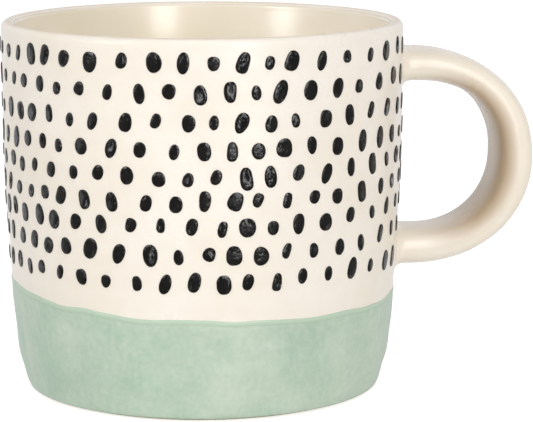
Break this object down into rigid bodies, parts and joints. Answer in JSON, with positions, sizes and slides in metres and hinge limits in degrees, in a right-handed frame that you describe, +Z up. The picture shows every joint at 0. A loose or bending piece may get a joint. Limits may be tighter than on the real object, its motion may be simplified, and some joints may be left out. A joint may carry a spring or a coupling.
{
  "type": "stoneware mug",
  "caption": "Straight-sided stoneware mug with a strap handle, cream glaze, a sage glaze dip at the foot and staggered rows of raised black dots.",
  "frame": {"origin": "centre of the foot face, on the cup's axis", "axes": "+Z up along the cup's axis, +X from the axis towards the handle, the strap's width along Y"},
  "size_m": [0.1271, 0.0954, 0.0875],
  "materials": {
    "bare_clay": "matte",
    "handle_clay": "matte",
    "joint_slip": "matte",
    "liner_glaze": "gloss",
    "cream_glaze": "gloss",
    "sage_glaze": "gloss",
    "black_slip": "gloss"
  },
  "bodies": {
    "root": {"stoneware_body": "bare_clay", "handle": "handle_clay", "upper_joint_slip": "joint_slip", "lower_joint_slip": "joint_slip", "liner_glaze": "liner_glaze", "cream_glaze": "cream_glaze", "sage_dip_glaze": "sage_glaze", "handle_glaze": "cream_glaze", "dot_row_1": "black_slip", "dot_row_2": "black_slip", "dot_row_3": "black_slip", "dot_row_4": "black_slip", "dot_row_5": "black_slip", "dot_row_6": "black_slip", "dot_row_7": "black_slip", "dot_row_8": "black_slip", "dot_row_9": "black_slip"}
  },
  "joints": []
}
